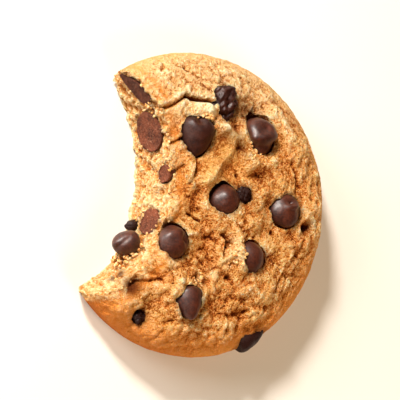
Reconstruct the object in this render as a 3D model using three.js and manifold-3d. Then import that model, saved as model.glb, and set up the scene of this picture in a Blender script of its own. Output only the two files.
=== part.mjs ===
// A soft chocolate chip cookie with one bite taken out of it, lying flat with its baked top up.
//
// Millimetres, +Z up. The origin is the centre of the round underside, which lies on z = 0.
// The bite is on the -X side, so the cookie is longest along Y. The chips are whole pieces of
// chocolate, each in its own pocket in the dough, and the bite has cut through four of them.

import * as THREE from 'three';
import { mergeVertices } from 'three/addons/utils/BufferGeometryUtils.js';
import Module from 'manifold-3d';

// The baked disc
const COOKIE_RADIUS = 30.8;
const COOKIE_HEIGHT = 12.8;
const TOP_FALL = 1.6;
const WIDEST_LEVEL = 4.6;
const SHOULDER_POWER = 7;
const FOOT_WIDTH = 3;
const OUT_OF_ROUND = { lobes: 3, amount: 0.006, turn: 20 };
const FLAT_SPOT = { turn: -105, halfAngle: 30, depth: 0.5 };
const DISC_GRID = 56;
const SECTION_STEPS = 200;

// Below the first level the side is smooth, and above the second it has its full relief
const RELIEF_LEVELS = [1.8, 7.4];

// The crags of the baked surface: rounded lumps with creases between them
const CRAG = { cell: 3.1, height: 0.75, smoothFrom: 0.86, smoothTo: 0.97 };
const SWELL = { wavelength: 15, height: 0.35, shiftX: 1.3, shiftY: 0.4 };

// Hollows in the top: x, y, radius and depth
const HOLLOWS = [
  [5.2, 6.2, 4.4, 0.8],
  [13, 16.8, 2.6, 1.9],
  [7.4, 10.4, 1.7, 1.1],
  [7.9, 14.5, 1.5, 1.0],
  [-10.4, -3.6, 2.4, 1.3],
  [-0.6, 2.6, 1.9, 1.2],
  [13.6, -1.6, 1.8, 1.2],
  [-17.5, -20.6, 1.9, 1.6],
  [-19.4, -14.3, 1.5, 0.9],
  [22.5, -7.2, 1.5, 1.1],
  [-5.4, -14.6, 1.6, 0.9],
  [3.4, -8.5, 1.3, 0.8],
  [13.6, 4.5, 2.4, 0.5],
];

// Raised flakes and lips of crust: start, end, half width and height
const LIPS = [
  [[-4.6, 19.3], [1.2, 18.6], 1.7, 0.9],
  [[9.0, 6.4], [14.5, 6.8], 1.3, 0.6],
  [[6.6, 15.6], [6.6, 11.1], 1.1, 0.5],
  [[17.7, 16.4], [20, 11.7], 1.3, 0.6],
  [[-13.4, -9.8], [-9, -11.6], 1.6, 0.6],
  [[4.9, -7.4], [4.9, -14], 1.5, 0.7],
];

// Cracks in the crust: a run of points, half width and depth
const CRACKS = [
  [[[-9.4, 19.4], [-6.4, 19.9], [-3, 21], [-0.4, 21], [2.1, 19.9]], 0.9, 1.3],
  [[[19.8, 6.4], [20.9, 3.8], [21.1, 0.4]], 0.9, 0.6],
  [[[17.5, -14.5], [20, -12.2], [22, -9.6]], 0.9, 0.6],
  [[[1.7, -6.4], [2.8, -8.5], [1.3, -11.1]], 0.9, 0.6],
  [[[-9.4, 5.8], [-6, 7.5]], 0.9, 0.6],
  [[[0.4, -23.5], [6.4, -22.4]], 0.9, 0.6],
];

// The bite: an oval cut whose wall leans out towards the underside, most at the -Y end
const BITE = {
  centre: [-28.7, 11],
  halfWidth: 19.4,
  halfLength: 26.2,
  middleLevel: 6,
  lean: 0.092,
  leanSwing: 0.1,
  leanTurn: 8,
  bottom: -2,
  top: 16,
  segments: 92,
  rows: 11,
};
const CRUMB = { cell: 2.3, height: 0.8 };

// A chip is a drop: a round foot that narrows to a tip, and the foot is the centre of its base. Its
// pocket is the chip grown about its middle, which is nearer its base, by the gap all round.
const POCKET_GAP = 0.3;
const POCKET_END_GAPS = 2.4;
const CHIP_SEGMENTS = 12;
const CHIP_WIDEST = 0.24;
const CHIP_MIDDLE = 0.45;
const CHIP_FULLNESS = 2;
const CHIP_ROUNDING = 0.6;
const CHIP_FOOT = [[0, 0], [0.62, 0], [0.93, 0.08]];
const CHIP_LEVELS = [CHIP_WIDEST, 0.45, 0.66, 0.83, 0.94, 1];
const CHIP_LUMP = { cell: 3.4, height: 0.22 };
const CHIPS = [
  { name: 'chip_wall_top', foot: [-10.1, 21, 9.4], tip: [-2.8, 5, -4.3], radius: 1.8, length: 8.6, cut: true },
  { name: 'chip_wall_broad', foot: [-7.2, 15.3, 6.4], tip: [-1, 0, 0.05], radius: 4, length: 6.5, cut: true },
  { name: 'chip_wall_slim', foot: [-7.4, 6.6, 9.9], tip: [-1, 0, 0.1], radius: 1.75, length: 5, cut: true },
  { name: 'chip_wall_middle', foot: [-10.2, -2.9, 7], tip: [-1, 0.3, 0], radius: 2.6, length: 5.5, cut: true },
  { name: 'chip_wall_proud', foot: [-14.4, -6.3, 4.9], tip: [-0.98, 0.05, 0.1], radius: 2.6, length: 5.2 },
  { name: 'chip_wall_bit', foot: [-11.7, -2.8, 1.9], tip: [-1, 0, 0], radius: 1.1, length: 2.8 },
  { name: 'chip_cone', foot: [-1, 16.9, 11], tip: [-0.2, -0.96, 0.06], radius: 3.8, length: 7.8, fullness: 1.5 },
  { name: 'chip_pit', foot: [6.2, 22.8, 9.3], tip: [-0.05, -0.97, 0.1], radius: 3, length: 7.4 },
  { name: 'chip_split', foot: [11.9, 12, 10.2], tip: [0.8, 0.2, 0.55], radius: 4, length: 5.4 },
  { name: 'chip_centre', foot: [3.4, 0.2, 10], tip: [-0.3, 0.15, 0.94], radius: 3.4, length: 4.6 },
  { name: 'chip_centre_bit', foot: [7.9, 0.9, 10.9], tip: [0.2, 0.1, 0.97], radius: 1.4, length: 2.1 },
  { name: 'chip_curl', foot: [17.7, -3.4, 9.2], tip: [0.2, 0.4, 0.88], radius: 3.8, length: 4.6 },
  { name: 'chip_edge', foot: [-10.1, -6.9, 9.8], tip: [0.4, 0, 0.92], radius: 3.4, length: 4.6 },
  { name: 'chip_half', foot: [7.6, -11.6, 9.9], tip: [-0.15, -0.3, 0.94], radius: 3.6, length: 4.1 },
  { name: 'chip_low', foot: [-7.2, -16.6, 10.3], tip: [-0.12, -0.85, 0.4], radius: 3.1, length: 6.2, fullness: 1.5 },
  { name: 'chip_sunk', foot: [-17.3, -20.4, 7.4], tip: [-0.2, -0.2, 0.95], radius: 1.6, length: 2.4 },
  { name: 'chip_rim', foot: [5.6, -28.9, 6.6], tip: [0.9, 0.43, 0.03], radius: 2.5, length: 8 },
];

const DOUGH_MATERIAL = new THREE.MeshStandardMaterial({ color: '#cf9455', roughness: 0.9, metalness: 0 });
const CHOCOLATE_MATERIAL = new THREE.MeshStandardMaterial({ color: '#5a2c1a', roughness: 0.45, metalness: 0 });

const wasm = await Module();
wasm.setup();

// Number helpers

function smoothStep(from, to, value) {
  return THREE.MathUtils.smoothstep(value, from, to);
}

// An even scatter of numbers from 0 to 1, one for each whole-number cell
function cellNumber(i, j, k) {
  const wave = Math.sin(i * 127.1 + j * 311.7 + k * 74.7) * 43758.5453;
  return wave - Math.floor(wave);
}

// Distance from a point to the nearest of the points scattered one to a cell, in cell widths
function nearestSeed(x, y, z) {
  const [ci, cj, ck] = [Math.floor(x), Math.floor(y), Math.floor(z)];
  let nearest = Infinity;
  for (let i = ci - 1; i <= ci + 1; i += 1) {
    for (let j = cj - 1; j <= cj + 1; j += 1) {
      for (let k = ck - 1; k <= ck + 1; k += 1) {
        const dx = i + cellNumber(i, j, k) - x;
        const dy = j + cellNumber(j, k, i + 57) - y;
        const dz = k + cellNumber(k, i, j + 113) - z;
        nearest = Math.min(nearest, Math.hypot(dx, dy, dz));
      }
    }
  }
  return nearest;
}

// Rounded lumps, high over each seed and creased between them, from about -0.6 to 0.4
function lumps(point, cell) {
  const reach = nearestSeed(point.x / cell, point.y / cell, point.z / cell);
  return 0.4 - Math.min(reach, 1) ** 2;
}

// Distance in plan from a point to a run of straight stretches
function distanceToRun(x, y, run) {
  let nearest = Infinity;
  for (let i = 0; i + 1 < run.length; i += 1) {
    const [ax, ay] = run[i];
    const [bx, by] = run[i + 1];
    const along = ((x - ax) * (bx - ax) + (y - ay) * (by - ay)) / ((bx - ax) ** 2 + (by - ay) ** 2);
    const t = THREE.MathUtils.clamp(along, 0, 1);
    nearest = Math.min(nearest, Math.hypot(x - ax - t * (bx - ax), y - ay - t * (by - ay)));
  }
  return nearest;
}

// Solids and geometries

function toSolid(geometry) {
  const bare = geometry.clone();
  bare.deleteAttribute('normal');
  bare.deleteAttribute('uv');
  const merged = mergeVertices(bare, 1e-4);
  const triVerts = new Uint32Array(dropFlatTriangles(merged.index.array));
  const vertProperties = merged.attributes.position.array;
  return new wasm.Manifold(new wasm.Mesh({ numProp: 3, vertProperties, triVerts }));
}

// Triangles that lost a corner when the vertices at a pole were merged
function dropFlatTriangles(index) {
  const kept = [];
  for (let i = 0; i < index.length; i += 3) {
    const [a, b, c] = [index[i], index[i + 1], index[i + 2]];
    if (a !== b && b !== c && c !== a) {
      kept.push(a, b, c);
    }
  }
  return kept;
}

function toGeometry(solid) {
  const mesh = solid.getMesh();
  const geometry = new THREE.BufferGeometry();
  geometry.setAttribute('position', new THREE.Float32BufferAttribute(mesh.vertProperties, 3));
  geometry.setIndex(new THREE.Uint32BufferAttribute(mesh.triVerts, 1));
  return geometry;
}

function largestBody(solid) {
  const bodies = solid.decompose();
  bodies.sort((a, b) => b.volume() - a.volume());
  return bodies[0];
}

// Moves each vertex along the surface's own normal by height(point)
function raiseSurface(geometry, height) {
  const bare = geometry.clone();
  bare.deleteAttribute('normal');
  bare.deleteAttribute('uv');
  const merged = mergeVertices(bare, 1e-4);
  merged.computeVertexNormals();
  const { position, normal } = merged.attributes;
  const point = new THREE.Vector3();
  const outward = new THREE.Vector3();
  for (let i = 0; i < position.count; i += 1) {
    point.fromBufferAttribute(position, i);
    outward.fromBufferAttribute(normal, i);
    point.addScaledVector(outward, height(point));
    position.setXYZ(i, point.x, point.y, point.z);
  }
  return merged;
}

// The baked disc

function topLevel(reach) {
  const crown = COOKIE_HEIGHT - TOP_FALL * reach ** 2 - WIDEST_LEVEL;
  return WIDEST_LEVEL + crown * Math.sqrt(1 - reach ** SHOULDER_POWER);
}

// Half of the section through the disc, from the middle of the top to the inner edge of the foot
function discSection() {
  const points = [];
  for (let i = 0; i <= SECTION_STEPS; i += 1) {
    const reach = Math.sin((Math.PI / 2) * (i / SECTION_STEPS));
    points.push(new THREE.Vector2(COOKIE_RADIUS * reach, topLevel(reach)));
  }
  for (let i = 1; i <= SECTION_STEPS; i += 1) {
    const turn = (Math.PI / 2) * (i / SECTION_STEPS);
    const r = COOKIE_RADIUS - FOOT_WIDTH * (1 - Math.cos(turn));
    points.push(new THREE.Vector2(r, WIDEST_LEVEL * (1 - Math.sin(turn))));
  }
  return new THREE.SplineCurve(points);
}

// The four sides of a square grid's border, as vertex numbers in one loop
function borderLoop(cells) {
  const row = cells + 1;
  const loop = [];
  for (let i = 0; i < cells; i += 1) {
    loop.push(i);
  }
  for (let i = 0; i < cells; i += 1) {
    loop.push(i * row + cells);
  }
  for (let i = cells; i > 0; i -= 1) {
    loop.push(cells * row + i);
  }
  for (let i = cells; i > 0; i -= 1) {
    loop.push(i * row);
  }
  return loop;
}

// A square grid whose square rings are bent round into the rings of the disc, closed by a flat
// underside, so that its triangles are all near one size
function smoothDisc() {
  const sheet = new THREE.PlaneGeometry(2, 2, DISC_GRID, DISC_GRID);
  const section = discSection();
  const places = [];
  for (let i = 0; i < sheet.attributes.position.count; i += 1) {
    const a = sheet.attributes.position.getX(i);
    const b = sheet.attributes.position.getY(i);
    const wide = Math.abs(a) >= Math.abs(b);
    const ring = wide ? a : b;
    const turn = wide ? (Math.PI / 4) * (a === 0 ? 0 : b / a) : Math.PI / 2 - (Math.PI / 4) * (a / b);
    const level = section.getPointAt(Math.min(Math.abs(ring), 1));
    const r = Math.sign(ring) * level.x;
    const onFoot = Math.abs(ring) > 0.9999;
    places.push(r * Math.cos(turn), r * Math.sin(turn), onFoot ? 0 : level.y);
  }
  const middle = places.length / 3;
  places.push(0, 0, 0);
  const faces = Array.from(sheet.index.array);
  const loop = borderLoop(DISC_GRID);
  for (let i = 0; i < loop.length; i += 1) {
    faces.push(loop[i], loop[(i + 1) % loop.length], middle);
  }
  const disc = new THREE.BufferGeometry();
  disc.setAttribute('position', new THREE.Float32BufferAttribute(places, 3));
  disc.setIndex(faces);
  return disc;
}

function craggyRelief(point) {
  const reach = Math.hypot(point.x, point.y) / COOKIE_RADIUS;
  const rough = 1 - smoothStep(CRAG.smoothFrom, CRAG.smoothTo, reach);
  const turn = (2 * Math.PI) / SWELL.wavelength;
  const swell = Math.sin(point.x * turn + SWELL.shiftX) * Math.sin(point.y * turn + SWELL.shiftY);
  return rough * (CRAG.height * lumps(point, CRAG.cell) + SWELL.height * swell);
}

function bakedFeatures(point) {
  const { x, y } = point;
  let height = 0;
  for (const [cx, cy, radius, depth] of HOLLOWS) {
    height -= depth * Math.exp(-(((x - cx) ** 2 + (y - cy) ** 2) / radius ** 2));
  }
  for (const [start, end, halfWidth, rise] of LIPS) {
    height += rise * Math.exp(-((distanceToRun(x, y, [start, end]) / halfWidth) ** 2));
  }
  for (const [run, halfWidth, depth] of CRACKS) {
    height -= depth * Math.exp(-((distanceToRun(x, y, run) / halfWidth) ** 2));
  }
  return height;
}

// How much further out than a true circle the outline runs in one direction
function outlineStretch(x, y) {
  const turn = THREE.MathUtils.radToDeg(Math.atan2(y, x));
  const lobes = Math.cos(THREE.MathUtils.degToRad(OUT_OF_ROUND.lobes * (turn - OUT_OF_ROUND.turn)));
  const flat = Math.exp(-(((turn - FLAT_SPOT.turn) / FLAT_SPOT.halfAngle) ** 2));
  return 1 + OUT_OF_ROUND.amount * lobes - (FLAT_SPOT.depth / COOKIE_RADIUS) * flat;
}

function bakedDisc() {
  const above = (point) => smoothStep(...RELIEF_LEVELS, point.z);
  const relief = (point) => above(point) * (craggyRelief(point) + bakedFeatures(point));
  const baked = raiseSurface(smoothDisc(), relief);
  const { position } = baked.attributes;
  for (let i = 0; i < position.count; i += 1) {
    const stretch = outlineStretch(position.getX(i), position.getY(i));
    position.setX(i, position.getX(i) * stretch);
    position.setY(i, position.getY(i) * stretch);
  }
  return baked;
}

// The bite

function biteShape(crumbHeight) {
  const height = BITE.top - BITE.bottom;
  const drum = new THREE.CylinderGeometry(1, 1, height, BITE.segments, BITE.rows).rotateX(Math.PI / 2);
  const { position } = drum.attributes;
  for (let i = 0; i < position.count; i += 1) {
    const [x, y] = [position.getX(i), position.getY(i)];
    const z = position.getZ(i) + (BITE.top + BITE.bottom) / 2;
    const turn = Math.atan2(y, x) + THREE.MathUtils.degToRad(BITE.leanTurn);
    const lean = BITE.lean - BITE.leanSwing * Math.sin(turn);
    const grow = lean * (z - BITE.middleLevel);
    position.setXYZ(
      i,
      BITE.centre[0] + (BITE.halfWidth + grow) * x,
      BITE.centre[1] + (BITE.halfLength + grow) * y,
      z,
    );
  }
  return raiseSurface(drum, (point) => crumbHeight * lumps(point, CRUMB.cell));
}

// The chips

// The drop's half section at unit size: above its widest level it is a dome, or a cone where the
// fullness is low
function chipSection(fullness) {
  const section = CHIP_FOOT.map(([r, h]) => new THREE.Vector2(r, h - CHIP_MIDDLE));
  for (const h of CHIP_LEVELS) {
    const rise = (h - CHIP_WIDEST) / (1 - CHIP_WIDEST);
    section.push(new THREE.Vector2((1 - rise ** fullness) ** CHIP_ROUNDING, h - CHIP_MIDDLE));
  }
  return section;
}

function chipGeometry(chip, margin) {
  const section = chipSection(chip.fullness ?? CHIP_FULLNESS);
  const drop = new THREE.LatheGeometry(section, CHIP_SEGMENTS).rotateX(Math.PI / 2);
  drop.scale(chip.radius, chip.radius, chip.length);
  const own = new THREE.Vector3(...chip.foot);
  const lumpy = raiseSurface(drop, (point) => CHIP_LUMP.height * lumps(own.clone().add(point), CHIP_LUMP.cell));
  const sideways = (chip.radius + margin) / chip.radius;
  lumpy.scale(sideways, sideways, (chip.length + POCKET_END_GAPS * margin) / chip.length);
  return lumpy.translate(0, 0, CHIP_MIDDLE * chip.length);
}

// The chip's own frame: its tip along +Z, its base centred on the origin
function chipPlace(chip) {
  const up = new THREE.Vector3(0, 0, 1);
  const tip = new THREE.Vector3(...chip.tip).normalize();
  const turn = new THREE.Quaternion().setFromUnitVectors(up, tip);
  return new THREE.Matrix4().compose(new THREE.Vector3(...chip.foot), turn, new THREE.Vector3(1, 1, 1));
}

function chipMesh(chip, smoothBite) {
  const place = chipPlace(chip);
  let geometry = chipGeometry(chip, 0);
  if (chip.cut) {
    const cut = largestBody(toSolid(geometry.applyMatrix4(place)).subtract(smoothBite));
    geometry = toGeometry(cut).applyMatrix4(place.clone().invert());
  }
  const mesh = new THREE.Mesh(geometry, CHOCOLATE_MATERIAL);
  mesh.name = chip.name;
  mesh.applyMatrix4(place);
  return mesh;
}

function doughMesh() {
  let dough = toSolid(bakedDisc()).subtract(toSolid(biteShape(CRUMB.height)));
  for (const chip of CHIPS) {
    dough = dough.subtract(toSolid(chipGeometry(chip, POCKET_GAP).applyMatrix4(chipPlace(chip))));
  }
  const mesh = new THREE.Mesh(toGeometry(largestBody(dough)), DOUGH_MATERIAL);
  mesh.name = 'dough';
  return mesh;
}

const cookie = new THREE.Group();
const smoothBite = toSolid(biteShape(0));
cookie.add(doughMesh());
for (const chip of CHIPS) {
  cookie.add(chipMesh(chip, smoothBite));
}

export default cookie;
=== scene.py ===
# %% [markdown]
# # A chocolate chip cookie with a bite taken out of it
# The solid model already says where the dough and every chip are. This lesson gives them the
# surfaces of the real thing: a craggy baked top, an open crumb where the bite went through, and
# chocolate that is satin outside and dull where it was bitten. Everything is worked out in
# millimetres, as a baker would measure it, and turned into metres when a mesh is made.

# %% Load the solid model
import math

import bpy
import numpy as np
from mathutils import Matrix, Vector


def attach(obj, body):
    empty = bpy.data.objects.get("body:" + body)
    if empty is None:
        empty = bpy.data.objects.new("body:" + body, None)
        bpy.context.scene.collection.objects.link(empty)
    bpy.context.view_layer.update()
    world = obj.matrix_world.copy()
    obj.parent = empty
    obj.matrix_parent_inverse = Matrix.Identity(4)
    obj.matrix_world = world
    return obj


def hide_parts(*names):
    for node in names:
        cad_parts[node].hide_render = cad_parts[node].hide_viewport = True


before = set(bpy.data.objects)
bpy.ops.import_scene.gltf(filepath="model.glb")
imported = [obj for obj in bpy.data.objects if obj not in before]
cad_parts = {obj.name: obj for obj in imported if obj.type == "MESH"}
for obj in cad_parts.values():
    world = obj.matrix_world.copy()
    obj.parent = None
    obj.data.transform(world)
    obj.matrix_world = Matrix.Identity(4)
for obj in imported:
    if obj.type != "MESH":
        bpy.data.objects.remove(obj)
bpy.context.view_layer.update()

MM = 0.001
RANDOM_SEED = 7

# %% [markdown]
# ## The camera
# The photo looks at the top of the cookie from the bitten side, 32 degrees off the upright, with
# the cookie's long way up the picture and leaning a little to the left. A camera could be turned by
# hand until it fits. Here its three axes are written down instead, because they were measured from
# the picture, and aiming it a few millimetres off the middle frames the cookie without any shift.

# %% Place the camera
VIEW_TILT = math.radians(32.0)
VIEW_ROLL = math.radians(5.8)
VIEW_DISTANCE = 420 * MM
PICTURE_WIDTH = 400
PIXELS_PER_MM = 4.93
ORIGIN_PIXEL = (180.0, 206.1)
SENSOR_WIDTH = 36.0


def place_camera():
    """Back axis from the tilt, right and up axes turned by the roll, then aimed so that the
    frame's origin lands on its own pixel."""
    back = Vector((-math.sin(VIEW_TILT), 0, math.cos(VIEW_TILT)))
    flat_right = Vector((math.cos(VIEW_TILT), 0, math.sin(VIEW_TILT)))
    right = flat_right * math.cos(VIEW_ROLL) - Vector((0, 1, 0)) * math.sin(VIEW_ROLL)
    up = flat_right * math.sin(VIEW_ROLL) + Vector((0, 1, 0)) * math.cos(VIEW_ROLL)
    aside = (PICTURE_WIDTH / 2 - ORIGIN_PIXEL[0]) / PIXELS_PER_MM * MM
    above = (ORIGIN_PIXEL[1] - PICTURE_WIDTH / 2) / PIXELS_PER_MM * MM
    place = back * VIEW_DISTANCE
    back = (place - right * aside - up * above).normalized()
    right = up.cross(back).normalized()
    up = back.cross(right)
    data = bpy.data.cameras.new("camera")
    data.sensor_width = SENSOR_WIDTH
    data.lens = PIXELS_PER_MM * VIEW_DISTANCE / MM / PICTURE_WIDTH * SENSOR_WIDTH
    camera = bpy.data.objects.new("camera", data)
    camera.matrix_world = Matrix.Translation(place) @ Matrix((right, up, back)).transposed().to_4x4()
    bpy.context.scene.collection.objects.link(camera)
    bpy.context.scene.camera = camera
    return camera


camera = place_camera()
print("lens:", round(camera.data.lens, 1), "mm")

# %% [markdown]
# ## Noise made of cells
# A baked surface is lumps with creases between them. Smooth noise gives hills with no creases, so
# the lumps come from cells instead: one seed point is scattered in each small cube of space, and
# the distance to the nearest seed is low in a lump's middle and high in the crease around it. The
# solid model uses the same scatter, so its large lumps and these are the same lumps.

# %% Scattered numbers and seeds


def cell_number(i, j, k):
    """The fraction left of 43758.5453 times sin(127.1 i + 311.7 j + 74.7 k): an even scatter from
    0 to 1, one number for each cell."""
    wave = np.sin(i * 127.1 + j * 311.7 + k * 74.7) * 43758.5453
    return wave - np.floor(wave)


def seed_distance(points, cell):
    """Distance, in cell widths, from each point to the nearest seed in the 27 cells around it."""
    scaled = points / cell
    base = np.floor(scaled) - 1
    near = np.full(len(points), 9.0)
    for step in np.ndindex(3, 3, 3):
        i, j, k = (base + step).T
        aside = [cell_number(i, j, k), cell_number(j, k, i + 57), cell_number(k, i, j + 113)]
        seeds = base + step + np.stack(aside, axis=1)
        near = np.minimum(near, np.linalg.norm(seeds - scaled, axis=1))
    return near


print("one number for each cell:", cell_number(np.arange(4), 0, 0).round(2))
# %% Lumps, bells, clouds and warps


def lumps(points, cell):
    """0.4 less the square of the distance to the nearest seed: rounded tops, sharp creases."""
    return 0.4 - np.minimum(seed_distance(points, cell), 1) ** 2


def smooth_step(low, high, value):
    """0 below low, 1 above high, and 3t squared less 2t cubed between them."""
    t = np.clip((value - low) / (high - low), 0, 1)
    return t * t * (3 - 2 * t)


def bell(distance, radius):
    """1 at no distance and falling off beside it: e to the minus square of distance by radius."""
    return np.exp(-(distance / radius) ** 2)


def cloud(points, wavelength, octaves=3):
    """Soft noise from about -1 to 1: numbers on the corners of cubes blended by smooth steps, then
    again at half the wavelength and half the strength."""
    total = np.zeros(len(points))
    for octave in range(octaves):
        scaled = points * 2.0 ** octave / wavelength + 17.3 * octave
        base = np.floor(scaled)
        part = smooth_step(0, 1, scaled - base)
        value = np.zeros(len(points))
        for corner in np.ndindex(2, 2, 2):
            weight = np.prod(np.where(corner, part, 1 - part), axis=1)
            value += weight * cell_number(*(base + corner).T)
        total += (2 * value - 1) * 0.5 ** octave
    return total


def warp(points, wavelength, start):
    """Three soft noises side by side, to bend the coordinates of another pattern."""
    offsets = (start, start + 31.0, start + 62.0)
    return np.stack([cloud(points + offset, wavelength, 2) for offset in offsets], axis=1)


print("clouds at 1, 2 and 3 mm:", cloud(np.eye(3) * [1, 2, 3], 5.0).round(2))

# %% [markdown]
# ## The dough's shape
# The cookie is a thick disc: nearly flat on top, round at the shoulder, widest a third of the way
# up, and flat underneath. A disc made from rings and spokes crowds its points in the middle. Here a
# square grid is bent into a disc instead, each square ring into a round one, so the points are
# evenly spaced and the crumb has the same grain everywhere.

# %% Sizes of the disc
COOKIE_RADIUS = 30.8
COOKIE_HEIGHT = 12.8
TOP_FALL = 1.6
WIDEST_LEVEL = 4.6
SHOULDER_POWER = 7
FOOT_WIDTH = 3.0
LOBES = 3
LOBE_AMOUNT = 0.006
LOBE_TURN = 20.0
FLAT_SPOT_TURN = -105.0
FLAT_SPOT_HALF_ANGLE = 30.0
FLAT_SPOT_DEPTH = 0.5
DISC_CELLS = 296
SECTION_STEPS = 400


def top_level(reach):
    """Height of the smooth top at a share of the radius: the crown times the root of 1 less the
    reach to the shoulder power."""
    reach = np.minimum(reach, 1)
    crown = COOKIE_HEIGHT - TOP_FALL * reach ** 2 - WIDEST_LEVEL
    return WIDEST_LEVEL + crown * np.sqrt(1 - reach ** SHOULDER_POWER)


def evenly_spaced(r, z, count):
    """The same curve with that many points at equal steps of its own length, and each one's share of
    the whole length."""
    along = np.concatenate([[0], np.cumsum(np.hypot(np.diff(r), np.diff(z)))])
    even = np.linspace(0, along[-1], count)
    return even / even[-1], np.interp(even, along, r), np.interp(even, along, z)


def disc_section():
    """Radius and height along the section, evenly spaced by its own length, from the middle of the
    top to the inner edge of the foot, with the outward direction at each step."""
    quarter = np.linspace(0, np.pi / 2, SECTION_STEPS)
    reach = np.sin(quarter)
    foot = COOKIE_RADIUS - FOOT_WIDTH * (1 - np.cos(quarter[1:]))
    r = np.concatenate([COOKIE_RADIUS * reach, foot])
    z = np.concatenate([top_level(reach), WIDEST_LEVEL * (1 - np.sin(quarter[1:]))])
    share, r, z = evenly_spaced(r, z, 2 * SECTION_STEPS)
    slope_r, slope_z = np.gradient(r), np.gradient(z)
    size = np.hypot(slope_r, slope_z)
    return share, r, z, -slope_z / size, slope_r / size


def outline_stretch(x, y):
    """1 plus three gentle lobes less one flat spot: how far out of round the cookie is."""
    turn = np.degrees(np.arctan2(y, x))
    lobes = LOBE_AMOUNT * np.cos(np.radians(LOBES * (turn - LOBE_TURN)))
    flat = bell(turn - FLAT_SPOT_TURN, FLAT_SPOT_HALF_ANGLE)
    return 1 + lobes - FLAT_SPOT_DEPTH / COOKIE_RADIUS * flat


print("top at the middle and near the rim, mm:", top_level(np.array([0, 0.9])).round(1))

# %% [markdown]
# ## What baking did to the top
# The photo shows where the top sank beside a chip, where the crust split, and where a flake or lip
# of it stands up. Each is one short row of numbers: hollows and the smaller pits are round dips,
# caps are round rises over a chip's edge, and lips and cracks are ridges and grooves along a run of
# points. Sculpting would give them too, but a list can be read and moved.

# %% Hollows, lips and cracks
HOLLOWS = [
    (5.2, 6.2, 4.4, 0.8), (13, 16.8, 2.6, 1.9), (7.4, 10.4, 1.7, 1.1), (7.9, 14.5, 1.5, 1),
    (-10.4, -3.6, 2.4, 1.3), (-0.6, 2.6, 1.9, 1.2), (13.6, -1.6, 1.8, 1.2), (-17.5, -20.6, 1.9, 1.6),
    (-19.2, -14.4, 2, 0.9), (22.5, -7.2, 1.5, 1.1), (-5.4, -14.6, 1.6, 0.9), (3.4, -8.5, 1.3, 0.8),
    (13.6, 4.5, 2.4, 0.5), (6, 16.4, 1.4, 1), (10.2, 4.6, 1.6, 0.6), (-13.8, -17.4, 1.8, 0.6),
]
PITS = [
    (1.9, -15.3, 0.6, 1.3), (3.4, -8.6, 0.7, 1.2), (14, -7.3, 0.5, 0.9), (6.6, 4.8, 0.5, 0.8),
    (11, -22.2, 0.6, 0.8), (-4.9, -26, 0.6, 0.6), (-1.9, 27.3, 0.5, 0.6), (23, -6.9, 0.8, 1.6),
    (-18.9, -14.6, 1.7, 1.5), (-5.4, -14.8, 0.8, 0.8), (-3.1, -1, 0.5, 0.5), (-17.6, -20.7, 1, 0.9),
]
CAPS = [
    (1.2, 17.9, 1.3, 0.8), (-1.6, 18.9, 1.5, 0.5), (4.8, -8.4, 1.3, 0.8), (4.6, -10.6, 1.4, 0.9),
    (4.9, -12.9, 1.2, 0.8), (-4.5, -14.4, 1, 0.7), (-9.8, -14.6, 1.2, 0.8), (9.4, 8.8, 1.1, 0.8),
    (-4.9, -18.8, 1.2, 0.7), (4.4, 14.7, 1, 0.8), (9.3, 13.6, 0.9, 0.7), (-12.6, -9.6, 1.2, 0.5),
    (-4.9, 21.9, 1.2, 0.5), (-3, 22.9, 1, 0.4), (-11, -20, 1.1, 0.8), (-10.2, -21.6, 1.1, 0.8),
]
LIPS = [
    (((-4.6, 19.3), (1.2, 18.6)), 1.6, 0.6), (((9, 6.4), (14.5, 6.8)), 1.3, 0.6),
    (((4.2, 14.6), (6.6, 12.4), (6.3, 10.2), (3.7, 8.6), (0.8, 6.5), (-1.1, 4.2), (-1.9, -0.9)),
     1.3, 0.9),
    (((-4.5, 7.1), (-6.6, 4.1), (-8.5, 0.9), (-10, -1.6)), 1.3, 0.7),
    (((-9.2, 14.7), (-9.4, 10.8)), 1, 0.5), (((17.7, 16.4), (20, 11.7)), 1.3, 0.6),
    (((8.4, 8.6), (10.8, 6.7)), 1.3, 0.7),
    (((3.6, -9.6), (2, -10.9), (-1.1, -13.6), (-2.6, -17)), 1.4, 0.8),
    (((-13.4, -9.8), (-9, -11.6)), 1.6, 0.6), (((4.9, -7.4), (4.9, -14)), 1.5, 0.7),
]
CRACKS = [
    (((-8.8, 19.5), (-6.5, 19.8), (-5, 20.5), (-3.4, 21.5)), 0.5, 1),
    (((-3.4, 21.5), (-2.4, 20.8), (0.8, 20.2), (2.7, 19.6)), 0.45, 1.8),
    (((-3.2, 6.4), (-2.6, 3.7), (-4.1, 0.5), (-4.6, -1.2)), 1, 0.45),
    (((19.8, 6.4), (20.9, 3.8), (21.1, 0.4)), 0.45, 0.5),
    (((17.5, -14.5), (20, -12.2), (22, -9.6)), 0.6, 0.5),
    (((13.6, -18.8), (15, -17)), 0.5, 0.45),
    (((1.7, -6.4), (2.8, -8.5), (1.3, -11.1)), 0.5, 0.7),
    (((-9.4, 5.8), (-6, 7.5)), 0.5, 0.6),
    (((-4.7, 4.3), (-2.8, 6.8)), 0.5, 0.5),
    (((-7.7, 12.4), (-5.2, 13.2)), 0.35, 0.8),
    (((-2.6, 9), (-2.6, 7.6)), 0.35, 0.6),
    (((-5.8, -1.7), (-4.5, -2.8), (-3.4, -3.3)), 0.35, 0.8),
    (((-2.6, -14.1), (0, -12.8)), 0.4, 0.4),
    (((-18, -13.9), (-13.3, -14)), 0.4, 0.8),
    (((-4.7, -10.7), (-3.4, -12)), 0.45, 0.5),
    (((0.4, -23.5), (3.4, -22.8), (6.4, -22.4)), 0.6, 0.4),
    (((-7.5, 26.5), (-6, 27.7)), 0.3, 0.5),
]
print("features:", len(HOLLOWS + PITS), "dips,", len(CAPS + LIPS), "rises,", len(CRACKS), "cracks")

# %% Bells round places and across runs


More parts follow.
